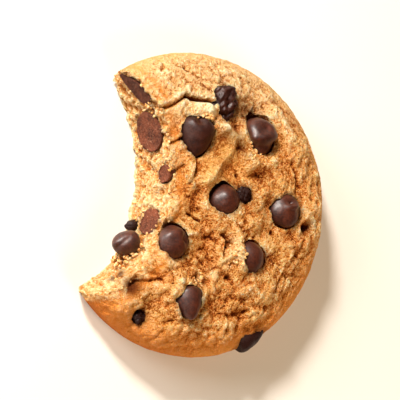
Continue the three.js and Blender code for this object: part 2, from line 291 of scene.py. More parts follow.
def distance_to_run(points, run):
    """Distance, in plan or in space, from each point to the nearest place on a run of straight
    stretches."""
    nearest = np.full(len(points), 1e9)
    for start, end in zip(run[:-1], run[1:]):
        start, along = np.array(start), np.subtract(end, start)
        share = np.clip((points - start) @ along / (along @ along), 0, 1)
        away = points - start - share[:, None] * along
        nearest = np.minimum(nearest, np.linalg.norm(away, axis=1))
    return nearest


def ridges(points, rows):
    """A bell curve across each row's run, with its half width and height, all added up."""
    return sum(height * bell(distance_to_run(points, run), width) for run, width, height in rows)


def bells(points, rows, weights=1.0):
    """A bell curve round each row's place, with its radius and height, all added up. The weights say
    how much a distance counts in each direction."""
    return sum(height * bell(np.linalg.norm((points - place) * weights, axis=1), radius)
               for *place, radius, height in rows)


def baked_features(plan, wobble):
    """Caps and lips less hollows, pits and cracks. The wobble bends the pits and cracks so that none
    is round or straight."""
    height = bells(plan, CAPS) - bells(plan, HOLLOWS) + ridges(plan, LIPS)
    return height - bells(plan + wobble, PITS) - ridges(plan + wobble, CRACKS)


print("features at the middle, mm:", baked_features(np.zeros((1, 2)), 0).round(2))

# %% The whole relief of the top
CRAG_CELL = 3.1
CRAG_HEIGHT = 0.75
SMOOTH_FROM = 0.86
SMOOTH_TO = 0.97
SWELL_LENGTH = 15.0
SWELL_HEIGHT = 0.35
RELIEF_LEVELS = (1.8, 7.4)
GRANULE_CELL = 1.4
GRAIN_CELL = 0.7
MELTED_PLACE = (3.5, 9.0)
MELTED_RADIUS = 6.5


def rim_wrinkles(points, bend):
    """Lumps in coordinates that follow the rim, squeezed across it and stretched along it, so that
    they become wrinkles that run round the cookie."""
    bent = points + 1.1 * bend
    turn = np.arctan2(bent[:, 1], bent[:, 0])
    across = np.hypot(bent[:, 0], bent[:, 1])
    return lumps(np.stack([across / 1.1, turn * COOKIE_RADIUS / 3.4, 0 * turn], axis=1), 1.0)


def melted_share(x, y):
    """A bell curve round the place between four chips where the crust melted smooth."""
    return bell(np.hypot(x - MELTED_PLACE[0], y - MELTED_PLACE[1]), MELTED_RADIUS)


def baked_relief(points):
    """Large lumps and a slow swell, as in the solid model, then soft folds, torn ridges (the crests
    lie where a soft noise is zero), two sizes of granules, heaped highest at the lower left and
    lowest at the lower right and where the crust melted, wrinkles near the rim, and the features.
    All fades down the side, and the granules reach furthest down at the upper end."""
    x, y, z = points.T
    reach = np.hypot(x, y) / COOKIE_RADIUS
    crumbly = smooth_step(-4, -14, y) * smooth_step(4, -6, x)
    rough = 1 - smooth_step(SMOOTH_FROM, SMOOTH_TO, reach - 0.07 * crumbly)
    crust = smooth_step(17, 25, y)
    cobbled = rough + (1 - rough) * (0.25 + 0.35 * smooth_step(-14, 6, y))
    soft = smooth_step(5, 13, x) * smooth_step(6, -4, y)
    heaped = smooth_step(-1, -9, y) * smooth_step(14, 3, x)
    melted = melted_share(x, y)
    bend = warp(points, 2.6, 0)
    turn = 2 * np.pi / SWELL_LENGTH
    swell = SWELL_HEIGHT * np.sin(x * turn + 1.3) * np.sin(y * turn + 0.4)
    crags = CRAG_HEIGHT * lumps(points + 0.35 * bend, CRAG_CELL) * (1 - 0.6 * crust)
    granules = 0.35 + 0.34 * heaped - 0.12 * soft + 0.14 * crust - 0.22 * melted
    granules = granules * lumps(points + 0.3 * bend, GRANULE_CELL)
    grain = (0.3 - 0.08 * heaped - 0.14 * melted) * lumps(points + 0.1 * bend, GRAIN_CELL)
    wrinkles = 0.42 * rim_wrinkles(points, bend) * smooth_step(0.5, 0.78, reach)
    wrinkles *= smooth_step(-16, -2, x) * (1 - smooth_step(0.9, 1.0, reach))
    folds = 0.95 * cloud(points + 9.0, 7.5, 2) * (1 - 0.5 * crust)
    torn = 0.55 * (0.35 - np.abs(cloud(points + 40.0 + 0.5 * bend, 6.5, 2))) * (1 - 0.8 * crust)
    height = rough * (crags + swell + folds + torn) + wrinkles
    height += cobbled * granules + (0.3 + 0.7 * rough) * grain
    height += 0.07 * cloud(points, 1.6, 2)
    height += baked_features(points[:, :2], 0.35 * bend[:, :2])
    return smooth_step(*RELIEF_LEVELS, z) * height


print("relief at the middle, mm:", baked_relief(np.array([[0, 0, COOKIE_HEIGHT]])).round(2))

# %% Bend the square grid into the baked disc


def square_rings(cells):
    """For each point of a square grid from -1 to 1: its ring, which is the larger of its two
    coordinates, and the turn that its place along that ring's side stands for."""
    line = np.linspace(-1, 1, cells + 1)
    b, a = (g.ravel() for g in np.meshgrid(line, line, indexing="ij"))
    wide = np.abs(a) >= np.abs(b)
    safe_a, safe_b = np.where(a == 0, 1, a), np.where(b == 0, 1, b)
    turn = np.where(wide, np.pi / 4 * b / safe_a, np.pi / 2 - np.pi / 4 * a / safe_b)
    return np.where(wide, a, b), turn


def grid_faces(number):
    """Two triangles for each square of a table of point numbers, facing the side from which its rows
    and columns turn left."""
    a, b = number[:-1, :-1].ravel(), number[:-1, 1:].ravel()
    c, d = number[1:, 1:].ravel(), number[1:, :-1].ravel()
    return np.concatenate([np.stack([a, b, c], 1), np.stack([a, c, d], 1)])


def baked_disc():
    """The square rings bent into the section's rings, moved out along the surface's own direction
    by the relief, stretched out of round, and closed by a fan over the flat underside."""
    ring, turn = square_rings(DISC_CELLS)
    share, r, z, out_r, out_z = disc_section()
    side = np.sign(ring)
    reach = np.abs(ring)
    radius = np.interp(reach, share, r) * side
    level = np.where(reach > 1 - 1e-9, 0, np.interp(reach, share, z))
    lean = np.interp(reach, share, out_r) * side
    upward = np.interp(reach, share, out_z)
    points = np.stack([radius * np.cos(turn), radius * np.sin(turn), level], axis=1)
    outward = np.stack([lean * np.cos(turn), lean * np.sin(turn), upward], axis=1)
    points = points + outward * baked_relief(points)[:, None]
    points[:, :2] *= outline_stretch(points[:, 0], points[:, 1])[:, None]
    number = np.arange(len(points)).reshape(DISC_CELLS + 1, DISC_CELLS + 1)
    border = np.concatenate([number[0, :-1], number[:-1, -1], number[-1, :0:-1], number[:0:-1, 0]])
    middle = np.full(len(border), len(points))
    under = np.stack([np.roll(border, -1), border, middle], axis=1)
    points = np.vstack([points, [[0, 0, 0]]])
    return points, np.concatenate([grid_faces(number), under])


disc = baked_disc()
print("disc:", len(disc[0]), "points,", len(disc[1]), "triangles")

# %% [markdown]
# ## The bite
# Teeth took an oval out of the left side, and its wall leans out towards the underside. The wall is
# torn crumb: pale, open and full of small holes. It is made as the shape that was taken away, an
# oval drum with a crumbly side, and cut out of the disc. Cutting keeps the edges of the bite as
# ragged as the crumb is, which moving the disc's own points could not do.

# %% Sizes of the bite
BITE_CENTRE = (-28.7, 11.0)
BITE_HALF_WIDTH = 19.4
BITE_HALF_LENGTH = 26.2
BITE_MIDDLE_LEVEL = 6.0
BITE_LEAN = 0.092
BITE_LEAN_SWING = 0.1
BITE_LEAN_TURN = math.radians(8)
BITE_LEVELS = (-2.0, 16.0)
CRUMB_CELL = 2.3
CRUMB_HEIGHT = 0.8
BITTEN_TURNS = (-math.radians(98), math.radians(62))
WALL_COLUMNS = 250
BACK_COLUMNS = 40
WALL_ROWS = 64


def bite_growth(turn, z):
    """How much wider the oval is at a height: the lean there times the height above its middle."""
    lean = BITE_LEAN - BITE_LEAN_SWING * np.sin(turn + BITE_LEAN_TURN)
    return lean * (z - BITE_MIDDLE_LEVEL)


def bite_wall(turn, z):
    """A point of the smooth wall: the oval's centre plus its grown half sizes times the cosine and
    sine of the turn."""
    grow = bite_growth(turn, z)
    x = BITE_CENTRE[0] + (BITE_HALF_WIDTH + grow) * np.cos(turn)
    y = BITE_CENTRE[1] + (BITE_HALF_LENGTH + grow) * np.sin(turn)
    return np.stack([x, y, z], axis=-1)


def inside_bite(points):
    """Millimetres from the smooth wall, positive inside the bite: 1 less the oval's own distance,
    times its half width."""
    x, y, z = points.T
    dx, dy = x - BITE_CENTRE[0], y - BITE_CENTRE[1]
    turn = np.arctan2(dy / BITE_HALF_LENGTH, dx / BITE_HALF_WIDTH)
    grow = bite_growth(turn, z)
    share = np.hypot(dx / (BITE_HALF_WIDTH + grow), dy / (BITE_HALF_LENGTH + grow))
    return (1 - share) * BITE_HALF_WIDTH


print("bite reaches x =", round(BITE_CENTRE[0] + BITE_HALF_WIDTH, 1), "mm")

# %% Torn crumb and the taken shape


def crumb_relief(points):
    """Torn crumb: large lumps as in the solid model, two finer sizes, flakes (the crests lie where
    a soft noise is zero), and pores that are wide in some places and missing in others."""
    bend = warp(points, 1.9, 5.0)
    coarse = CRUMB_HEIGHT * lumps(points + 0.4 * bend, CRUMB_CELL)
    middle = 0.5 * lumps(points + 0.3 * bend, 1.15)
    fine = 0.34 * lumps(points, 0.6)
    flakes = 0.7 * (np.abs(cloud(points + 90.0 + 0.5 * bend, 2.8, 2)) - 0.3)
    width = 0.05 + 0.2 * smooth_step(-0.3, 0.7, cloud(points + 55.0, 5.0, 2))
    pores = 1.1 * bell(seed_distance(points + 0.5 * bend, 1.9), width)
    return coarse + middle + fine + flakes + pores + 0.25 * cloud(points, 0.8, 2)


def closed_faces(rows, columns):
    """Faces of rings of points that close on themselves, and a fan on one more point at each end."""
    number = np.arange(rows * columns).reshape(rows, columns)
    number = np.hstack([number, number[:, :1]])
    first, last = number[0], number[-1]
    start = np.full(columns, rows * columns)
    fans = [np.stack([start, first[1:], first[:-1]], 1), np.stack([start + 1, last[:-1], last[1:]], 1)]
    return np.concatenate([grid_faces(number), *fans])


def bite_drum(relief):
    """The taken shape: rings of wall points from below the cookie to above it, pushed outwards by
    the relief, closed by flat ends. The side that is never seen has few columns."""
    seen = np.linspace(*BITTEN_TURNS, WALL_COLUMNS)
    unseen = np.linspace(BITTEN_TURNS[1], BITTEN_TURNS[0] + 2 * np.pi, BACK_COLUMNS)[1:-1]
    turn = np.concatenate([seen, unseen])
    levels = np.linspace(*BITE_LEVELS, WALL_ROWS)
    turns, heights = np.meshgrid(turn, levels)
    wall = bite_wall(turns.ravel(), heights.ravel())
    outward = np.stack([np.cos(turns) / BITE_HALF_WIDTH, np.sin(turns) / BITE_HALF_LENGTH], axis=-1)
    outward = outward.reshape(-1, 2)
    outward /= np.linalg.norm(outward, axis=1)[:, None]
    wall[:, :2] += outward * relief(wall)[:, None]
    ends = [[*BITE_CENTRE, level] for level in BITE_LEVELS]
    return np.vstack([wall, ends]), closed_faces(WALL_ROWS, len(turn))


taken = bite_drum(crumb_relief)
print("taken shape:", len(taken[0]), "points")

# %% [markdown]
# ## From arrays to meshes
# Blender takes whole arrays of corners and faces at once with foreach_set, which is much quicker
# than adding them one by one. The cuts are made by a Boolean modifier on a collection of tools,
# applied at once, so that each piece is one closed mesh.

# %% Make and cut meshes


def make_object(name, points, faces):
    """Points in millimetres and triangles as rows of three numbers, as a smooth-shaded object."""
    mesh = bpy.data.meshes.new(name)
    mesh.vertices.add(len(points))
    mesh.vertices.foreach_set("co", (points * MM).ravel())
    mesh.loops.add(faces.size)
    mesh.loops.foreach_set("vertex_index", faces.ravel().astype(np.int32))
    mesh.polygons.add(len(faces))
    mesh.polygons.foreach_set("loop_start", np.arange(0, faces.size, faces.shape[1], dtype=np.int32))
    mesh.update(calc_edges=True)
    mesh.shade_smooth()
    thing = bpy.data.objects.new(name, mesh)
    bpy.context.scene.collection.objects.link(thing)
    return thing


def cut_away(thing, tools):
    """Subtracts every tool from the object with one applied Boolean, then removes the tools."""
    shelf = bpy.data.collections.new("tools")
    for tool in tools:
        bpy.context.scene.collection.objects.unlink(tool)
        shelf.objects.link(tool)
    cut = thing.modifiers.new("cut", "BOOLEAN")
    cut.operation = "DIFFERENCE"
    cut.operand_type = "COLLECTION"
    cut.collection = shelf
    cut.solver = "MANIFOLD"
    bpy.context.scene.collection.children.link(shelf)
    graph = bpy.context.evaluated_depsgraph_get()
    shape = bpy.data.meshes.new_from_object(thing.evaluated_get(graph))
    thing.modifiers.clear()
    thing.data = shape
    for tool in tools:
        bpy.data.objects.remove(tool)
    bpy.data.collections.remove(shelf)
    return thing


# %% Read meshes and store numbers with them


def read_rows(items, field, width, kind=np.float32):
    """One row of numbers for each corner or edge of a mesh, read at once."""
    values = np.empty(len(items) * width, kind)
    items.foreach_get(field, values)
    return values.reshape(-1, width)


def mesh_points(thing):
    """The mesh's corners in millimetres."""
    return read_rows(thing.data.vertices, "co", 3).astype(float) / MM


def mesh_normals(thing):
    """The outward direction at each corner."""
    return read_rows(thing.data.vertex_normals, "vector", 3).astype(float)


def set_attribute(thing, name, values):
    """Stores one number with each corner, which a material can read by its name."""
    attribute = thing.data.attributes.new(name, "FLOAT", "POINT")
    attribute.data.foreach_set("value", values.astype(np.float32))


# %% [markdown]
# ## The chips
# A baking chip is a drop of chocolate: a round foot that narrows to a tip, where the nozzle let go
# of it. Some lie on their side and some stand with the tip up. One surface makes them all: its two
# parameters run round the chip and from the foot to the tip, and the row of numbers for each chip
# says where it stands, which way it points and how full it is.

# %% Sizes of the chips
CHIP_GRID = (46, 72)
POCKET_GRID = (30, 46)
CHIP_WIDEST = 0.24
CHIP_MIDDLE = 0.45
CHIP_FOOT = 0.62
CHIP_ROUNDING = 0.6
CHIP_FULLNESS = 2.0
CHIP_LUMP_CELL = 3.4
CHIP_LUMP_HEIGHT = 0.22
CHIP_RIPPLE_LENGTH = 2.2
CHIP_RIPPLE_HEIGHT = 0.09
POCKET_GAP = 0.02
POCKET_END_GAPS = 2.4

# %% Places of the chips


def chip(foot, tip, radius, length, **more):
    """The middle of the foot, the way to the tip, the radius and the length, and more where a chip
    needs it: whether the bite cut it, how full, wrinkled or dark it is, its marks (run, width and
    depth), and the shift of a second pocket that opens a gap beside it."""
    return dict(foot=foot, tip=tip, radius=radius, length=length, **more)


CHIPS = {
    "chip_wall_top": chip(
        (-10.1, 21, 9.4), (-2.8, 5, -4.3), 1.8, 8.6, cut=True, wrinkle=0.25, dark=0.5),
    "chip_wall_broad": chip((-7.2, 15.3, 6.4), (-1, 0, 0.05), 4, 6.5, cut=True, wrinkle=0.25),
    "chip_wall_slim": chip((-7.4, 6.6, 9.9), (-1, 0, 0.1), 1.75, 5, cut=True, wrinkle=0.3),
    "chip_wall_middle": chip((-10.2, -2.9, 7), (-1, 0.3, 0), 2.6, 5.5, cut=True, wrinkle=0.5),
    "chip_wall_proud": chip(
        (-14.4, -6.3, 4.9), (-0.98, 0.05, 0.1), 2.6, 5.2,
        marks=[([(-19.6, -7.4, 5.6), (-17, -5, 7.6)], 0.5, 0.2)]),
    "chip_wall_bit": chip((-11.7, -2.8, 1.9), (-1, 0, 0), 1.1, 2.8, wrinkle=0.4, dark=0.9),
    "chip_cone": chip(
        (-1, 16.9, 11), (-0.2, -0.96, 0.06), 3.8, 7.8, fullness=1.5, gap=(-0.35, -0.4, 0), dark=0.5,
        marks=[([(-1.7, 18.6, 13.4), (-1.9, 16.6, 14.6)], 1.1, 1.2),
               ([(1.2, 16.6, 13.6), (2.2, 16, 13)], 1.2, 0.5),
               ([(-3.6, 16.2, 14.2), (-2.2, 13, 14.4)], 1, -0.25)]),
    "chip_pit": chip(
        (6.1, 22.8, 9.6), (-0.05, -0.97, 0.1), 3, 7.4, gap=(-0.7, -0.3, 0.3), wrinkle=1.15,
        dark=0.55, marks=[([(6.3, 21.6, 12.4), (6, 19.4, 12.6)], 0.8, 0.5)]),
    "chip_split": chip(
        (11.9, 12, 10.2), (0.8, 0.2, 0.55), 4, 5.4, gap=(-0.4, 1.4, 0.7),
        marks=[([(9.1, 11.9, 13.7), (12, 11.9, 14.9), (16.2, 12.1, 13.4)], 0.8, -0.35),
               ([(12.9, 13.9, 14.6), (13.3, 14, 14.6)], 1.3, 0.7),
               ([(9.5, 9.9, 12.8), (12.6, 9.6, 14.2), (15.8, 10.2, 12.6)], 1.3, 0.7)]),
    "chip_centre": chip((3.7, 0.1, 10), (-0.3, 0.15, 0.94), 3.3, 4.6, gap=(-1, 0.75, 0.3)),
    "chip_centre_bit": chip(
        (7.4, 0.9, 11), (0.2, 0.1, 0.97), 1.9, 2.1, gap=(0.2, -0.3, 0.4), wrinkle=0.75, dark=0.95),
    "chip_curl": chip(
        (17.7, -3.4, 9.2), (0.2, 0.4, 0.88), 3.8, 4.6, gap=(-0.6, -0.2, 0.1),
        marks=[([(17.9, -0.9, 13.8), (18.5, -1.2, 13.7)], 0.8, 1.2),
               ([(17.2, -2.4, 14.1), (19.2, -2.3, 13.7), (21, -1.9, 12.6)], 0.65, -0.5),
               ([(18, -3.5, 13.9), (20.4, -3.6, 12.6)], 0.9, 0.3)]),
    "chip_edge": chip(
        (-10.1, -6.9, 9.8), (0.4, 0, 0.92), 3.4, 4.6, gap=(-0.35, 0.7, 0.15),
        marks=[([(-7.9, -6.2, 14), (-7.6, -6.8, 13.9)], 1, 0.7),
               ([(-11.4, -5.2, 13.4), (-8.6, -4.7, 13.6)], 0.9, -0.35)]),
    "chip_half": chip((7.7, -11.7, 9.9), (-0.15, -0.3, 0.94), 3.75, 4.1, gap=(0.3, 0.3, 0)),
    "chip_low": chip(
        (-7.2, -16.6, 10.3), (-0.12, -0.85, 0.4), 3.1, 6.2, fullness=1.5, gap=(-0.5, 0.3, 0)),
    "chip_sunk": chip(
        (-17.3, -20.4, 7.1), (-0.2, -0.2, 0.95), 1.4, 2.2, gap=(-0.4, 0.3, 0.4), wrinkle=1.2, dark=1),
    "chip_rim": chip((5.6, -28.9, 6.6), (0.9, 0.43, 0.03), 2.5, 8, dark=0.9),
}
print("chips:", len(CHIPS), "with a gap beside them:", sum("gap" in row for row in CHIPS.values()))

# %% One surface for every chip


def chip_section(fullness, rings):
    """Radius and height of the drop at unit size: a flat foot, a quarter turn up to the widest
    level, then 1 less the rise to the fullness, to a power, up to the tip. Evenly spaced."""
    foot = np.linspace(0, 1, 200)
    quarter = np.linspace(0, np.pi / 2, 200)
    rise = np.sin(np.linspace(0, np.pi / 2, 600))
    r = np.concatenate([
        CHIP_FOOT * foot, CHIP_FOOT + (1 - CHIP_FOOT) * np.sin(quarter),
        (1 - rise ** fullness) ** CHIP_ROUNDING,
    ])
    h = np.concatenate([
        0 * foot, CHIP_WIDEST * (1 - np.cos(quarter)), CHIP_WIDEST + (1 - CHIP_WIDEST) * rise,
    ])
    _, r, h = evenly_spaced(r, h, rings + 2)
    return r[1:-1], h[1:-1] - CHIP_MIDDLE


def ring_points(r, h, around, ends):
    """Rings of points at each radius and height, then one point on the axis at each end's height."""
    turn = np.linspace(0, 2 * np.pi, around, endpoint=False)
    x, y = np.outer(r, np.cos(turn)), np.outer(r, np.sin(turn))
    rings = np.stack([x.ravel(), y.ravel(), np.repeat(h, around)], axis=1)
    return np.vstack([rings, [[0, 0, end] for end in ends]])


def chip_points(row, grid, margin):
    """The drop at its own size with the solid model's lumps and a finer ripple, grown by the
    margin, turned so that its tip points its own way, and set down with its foot in place."""
    rings, around = grid
    section = chip_section(row.get("fullness", CHIP_FULLNESS), rings)
    size = np.array([row["radius"], row["radius"], row["length"]])
    points = ring_points(*section, around, (-CHIP_MIDDLE, 1 - CHIP_MIDDLE)) * size
    outward = points / size ** 2
    outward /= np.linalg.norm(outward, axis=1)[:, None]
    place = points + row["foot"]
    height = CHIP_LUMP_HEIGHT * lumps(place, CHIP_LUMP_CELL)
    height += CHIP_RIPPLE_HEIGHT * cloud(place, CHIP_RIPPLE_LENGTH)
    points = points + outward * height[:, None]
    points *= 1 + margin / size * [1, 1, POCKET_END_GAPS]
    points[:, 2] += CHIP_MIDDLE * row["length"]
    turn = Vector((0, 0, 1)).rotation_difference(Vector(row["tip"]).normalized())
    turn = np.array(turn.to_matrix()).T
    return points @ turn + row["foot"], outward @ turn


# %% Chips and their pockets


def chip_object(name, row):
    """The chip itself: the drop less its marks, which are dents, or ridges where their depth is
    negative, and wrinkled in two sizes where it was crushed."""
    points, outward = chip_points(row, CHIP_GRID, 0.0)
    height = np.zeros(len(points)) - ridges(points, row.get("marks", ()))
    if "wrinkle" in row:
        height += row["wrinkle"] * (0.6 * lumps(points, 1.5) + 0.8 * lumps(points, 0.75))
    return make_object(name, points + outward * height[:, None], closed_faces(*CHIP_GRID))


def pocket(row, shift=(0, 0, 0)):
    """The room that the dough leaves for the chip: the same drop, a little larger and with a ragged
    surface, moved by the shift to open a gap on one side."""
    points, outward = chip_points(row, POCKET_GRID, POCKET_GAP)
    height = 0.45 * lumps(points, 1.7) + 0.28 * lumps(points, 0.8)
    points = points + outward * height[:, None]
    return make_object("pocket", points + shift, closed_faces(*POCKET_GRID))


# %% Cut the bite and the chips' pockets out of the baked disc
dough = make_object("baked_dough", *disc)
tools = [make_object("bite", *taken)]
tools += [pocket(row) for row in CHIPS.values()]
tools += [pocket(row, row["gap"]) for row in CHIPS.values() if "gap" in row]
cut_away(dough, tools)
print("dough triangles:", sum(len(p.vertices) - 2 for p in dough.data.polygons))

# %% [markdown]
# ## What the finish needs to know about each point
# The creases and valleys are painted darker and orange brown, which is painted shade and partly a
# browner crust. The dough beside the chips and in some hollows is painted dark brown, partly smeared
# chocolate and partly painted shade. The lower rim carries painted shade and the upper end painted
# light, and the bitten crumb was never baked brown at all. A material can't see that by itself, so it is
# measured on the mesh and stored with each point: how hollow the surface is there, how near the chips
# and the smeared and shaded places are, and how much the point belongs to the bite or to another part of
# the cookie.

# %% Measure hollows


def hollowness(thing, rounds):
    """How far each point lies below the average of its surroundings, along its normal. Each round
    replaces every point by the mean of itself and its neighbours, which widens the surroundings."""
    points = mesh_points(thing)
    count = len(points)
    edges = read_rows(thing.data.edges, "vertices", 2, np.int32)
    ends, others = np.concatenate([edges, edges[:, ::-1]]).T
    shares = np.bincount(ends, minlength=count) + 1
    smooth = points.copy()
    for _ in range(rounds):
        for axis in range(3):
            pulled = np.bincount(ends, smooth[others, axis], minlength=count)
            smooth[:, axis] = (smooth[:, axis] + pulled) / shares
    return ((smooth - points) * mesh_normals(thing)).sum(axis=1)


# The hollowness of creases and valleys darkens the dough's colour below: painted shade, partly a browner
# crust.
crease, valley = hollowness(dough, 5), hollowness(dough, 90)
print("crease, mm:", np.percentile(crease, [5, 50, 95]).round(2))
print("valley, mm:", np.percentile(valley, [5, 50, 95]).round(2))

# %% Places of smeared chocolate and painted shade, and places of bare crumb
# Dark brown places, with how much each direction counts: partly chocolate smeared on the dough, partly
# painted shade in hollows and in the pockets above chips.
SMEAR_AND_SHADE_WEIGHTS = np.sqrt([1, 1, 0.5])
BARE_WEIGHTS = np.sqrt([1, 1, 0.4])
SMEARS_AND_SHADES = [
    (12.4, 17, 11, 2.4, 0.75), (7.9, 0.9, 12, 1.9, 0.9), (-17.5, -20.6, 9, 1.6, 0.9),
    (-18.9, -14.5, 9.8, 1.9, 1.3), (9.4, 19, 12, 1.8, 0.7), (4.2, 13.4, 12, 1.6, 0.6),
    (10.9, -11.5, 12, 1.7, 0.7), (23, -6.9, 10.4, 1.3, 1), (-19.9, -11.9, 6.6, 0.9, 0.8),
    (-5.2, -15, 12, 1.2, 0.6), (14, -0.4, 12, 1.6, 0.4), (8.6, 9.2, 12, 1.8, 0.4),
    (-12.6, -3.6, 10, 1.5, 0.4), (13, 4.2, 12, 1.6, 0.3), (7.2, 12.4, 12, 1.6, 0.35),
    (10.8, -2.2, 12, 1.6, 0.35), (8.2, 10.7, 11.2, 1.4, 0.5), (7.7, 13.6, 11.4, 1.1, 0.4),
    (2.6, 7.5, 12, 1, 0.3), (1.5, -4.8, 12, 2.8, 0.14), (-20.6, -12.7, 5.6, 0.8, 0.9),
    (-19, -11.7, 6.2, 0.8, 0.8), (-14.5, -7.3, 8.4, 0.9, 0.22),
]


# Each chip's band paints the dough darker: partly smeared chocolate, partly painted shade at the
# pocket's edge.
def chip_bands(points):
    """A thin band round every chip: a bell curve of the distance to an oval as large as the chip."""
    total = np.zeros(len(points))
    for row in CHIPS.values():
        axis = np.array(Vector(row["tip"]).normalized())
        middle = np.array(row["foot"]) + CHIP_MIDDLE * row["length"] * axis
        along = (points - middle) @ axis
        across = np.linalg.norm(points - middle - along[:, None] * axis, axis=1)
        oval = np.hypot(along / (0.55 * row["length"]), across / row["radius"])
        total += 0.55 * bell(np.maximum((oval - 1) * row["radius"] - 0.1, 0), 0.45)
    return total


BARE = [
    (4.8, -8.6, 13, 1.6), (4.6, -11, 13, 1.8), (-8.3, 9, 11, 1.8), (-10.6, -10.6, 12, 1.3),
    (-10.4, 1.2, 9, 2.2), (-4.6, -14.6, 12, 1), (-6.4, 18, 11, 1.6), (1.4, -12, 12.6, 1.4),
    (-1.4, -14.2, 12.4, 1.2), (-23.4, -13.9, 5.6, 1.9), (-21.2, -12.9, 6.6, 1.6),
    (-15.6, -8.2, 7, 1.9), (-11.2, 0.8, 5, 2.6),
]
BARE_STRENGTH = 0.9
dough_points = mesh_points(dough)
stain = np.minimum(bells(dough_points, SMEARS_AND_SHADES, SMEAR_AND_SHADE_WEIGHTS) + chip_bands(dough_points), 1)
spots = bells(dough_points, [(*row, BARE_STRENGTH) for row in BARE], BARE_WEIGHTS)
spots = np.minimum(spots, 1)
print("stained points:", (stain > 0.5).sum(), "with bare crumb:", (spots > 0.5).sum())

# %% Store the marks with the dough's points
CRUMB_DEPTHS = (-1.8, -0.8)
EDGE_DEPTH = -2.1
EDGE_WIDTH = 0.7
depth_in_wall = inside_bite(dough_points)


def dough_marks(x, y, z):
    """Every mark by its name. The lower rim carries painted shade and shares its mark with the crust
    along the bite's edge, which baked darker; the lower rim's left part carries more painted shade; the
    upper end is paler, which is painted light and partly a paler crust; and the melted mark is the
    smooth place."""
    # The lower rim is painted darker gold: painted shade.
    lower_rim_shade = smooth_step(24, 29.5, np.hypot(x, y)) * smooth_step(-8, -18, y)
    edge = bell(depth_in_wall - EDGE_DEPTH, EDGE_WIDTH) * smooth_step(3, 8, z)
    melted = melted_share(x, y)
    return {
        "level": z, "crease": crease, "valley": valley * (1 - 0.65 * melted), "stain": stain,
        "spots": spots, "bitten": np.maximum(smooth_step(*CRUMB_DEPTHS, depth_in_wall), spots),
        # The upper end is painted paler: painted light from the top lamp, partly a paler crust.
        "pale": smooth_step(8, 24, y), "melted": melted,
        "browned": np.maximum(lower_rim_shade, 0.8 * edge), "toasted": lower_rim_shade * smooth_step(0, -12, x),
    }


marks = dough_marks(*dough_points.T)
for name, values in marks.items():
    set_attribute(dough, name, values)
print("marked", len(dough_points), "points with", list(marks))

# %% Make the chocolate pieces


def broken_relief(points):
    """Bitten chocolate breaks in small steps: two sizes of lumps, less a tenth of a millimetre."""
    return 0.3 * lumps(points, 1.6) + 0.14 * lumps(points, 0.7) - 0.1


def chocolate_piece(name, row):
    """One chip, trimmed by the bite where teeth went through it, with its bitten face and its
    darkness marked."""
    piece = chip_object(name.replace("chip", "chocolate"), row)
    if row.get("cut"):
        cut_away(piece, [make_object("bite", *bite_drum(broken_relief))])
    points = mesh_points(piece)
    set_attribute(piece, "dark", np.full(len(points), row.get("dark", 0.0)))
    set_attribute(piece, "bitten", smooth_step(-0.5, -0.35, inside_bite(points)) * bool(row.get("cut")))
    return piece


chocolate = {name: chocolate_piece(name, row) for name, row in CHIPS.items()}
print("chocolate pieces:", len(chocolate))

# %% [markdown]
# ## Crumbs
# Small crumbs cling to the bite's wall and lie heaped against some chips. Each is a lumpy ball a
# few tenths of a millimetre across. They are all worked out in one array and kept in one mesh,
# because hundreds of small objects would be slow to handle and say nothing more.

# %% Sizes of the crumbs
CRUMB_AROUND = 7
CRUMB_RINGS = 4
CRUMB_SMALLEST = 0.13
CRUMB_GROWTH = 0.22
WALL_CRUMBS = 260
WALL_CRUMB_SINK = 0.1
WALL_FROM_DEPTH = -1.4
WALL_FROM_LEVEL = 0.6
draws = np.random.default_rng(RANDOM_SEED)

# %% Scatter the crumbs


def crumb_swarm(centres, sizes):
    """One ball at each centre, its points pushed in and out at random, squashed and turned. The
    ball's rings have the sine of their fall as radius and minus its cosine as height."""
    fall = np.linspace(0, np.pi, CRUMB_RINGS + 2)[1:-1]
    ball = ring_points(np.sin(fall), -np.cos(fall), CRUMB_AROUND, (-1, 1))
    faces = closed_faces(CRUMB_RINGS, CRUMB_AROUND)
    count = len(centres)
    rough = 1 + draws.uniform(-0.28, 0.28, (count, len(ball), 1))
    squash = draws.uniform(0.65, 1.15, (count, 1, 3))
    turns = np.linalg.qr(draws.normal(size=(count, 3, 3)))[0]
    turns *= np.sign(np.linalg.det(turns))[:, None, None]
    shapes = np.einsum("nij,nvj->nvi", turns, ball * rough * squash) * sizes[:, None, None]
    points = (shapes + centres[:, None]).reshape(-1, 3)
    numbers = faces[None] + (np.arange(count) * len(ball))[:, None, None]
    return points, numbers.reshape(-1, 3)


def wall_places(thing, chosen):
    """Random points among the chosen ones of a mesh, moved out along the surface by a tenth of the
    crumb's size. The sizes are drawn to a power, so that small crumbs are common."""
    points, normals = mesh_points(thing), mesh_normals(thing)
    picked = draws.choice(np.flatnonzero(chosen), WALL_CRUMBS)
    sizes = CRUMB_SMALLEST + CRUMB_GROWTH * draws.random(WALL_CRUMBS) ** 2.2
    return points[picked] + normals[picked] * (sizes * WALL_CRUMB_SINK)[:, None], sizes


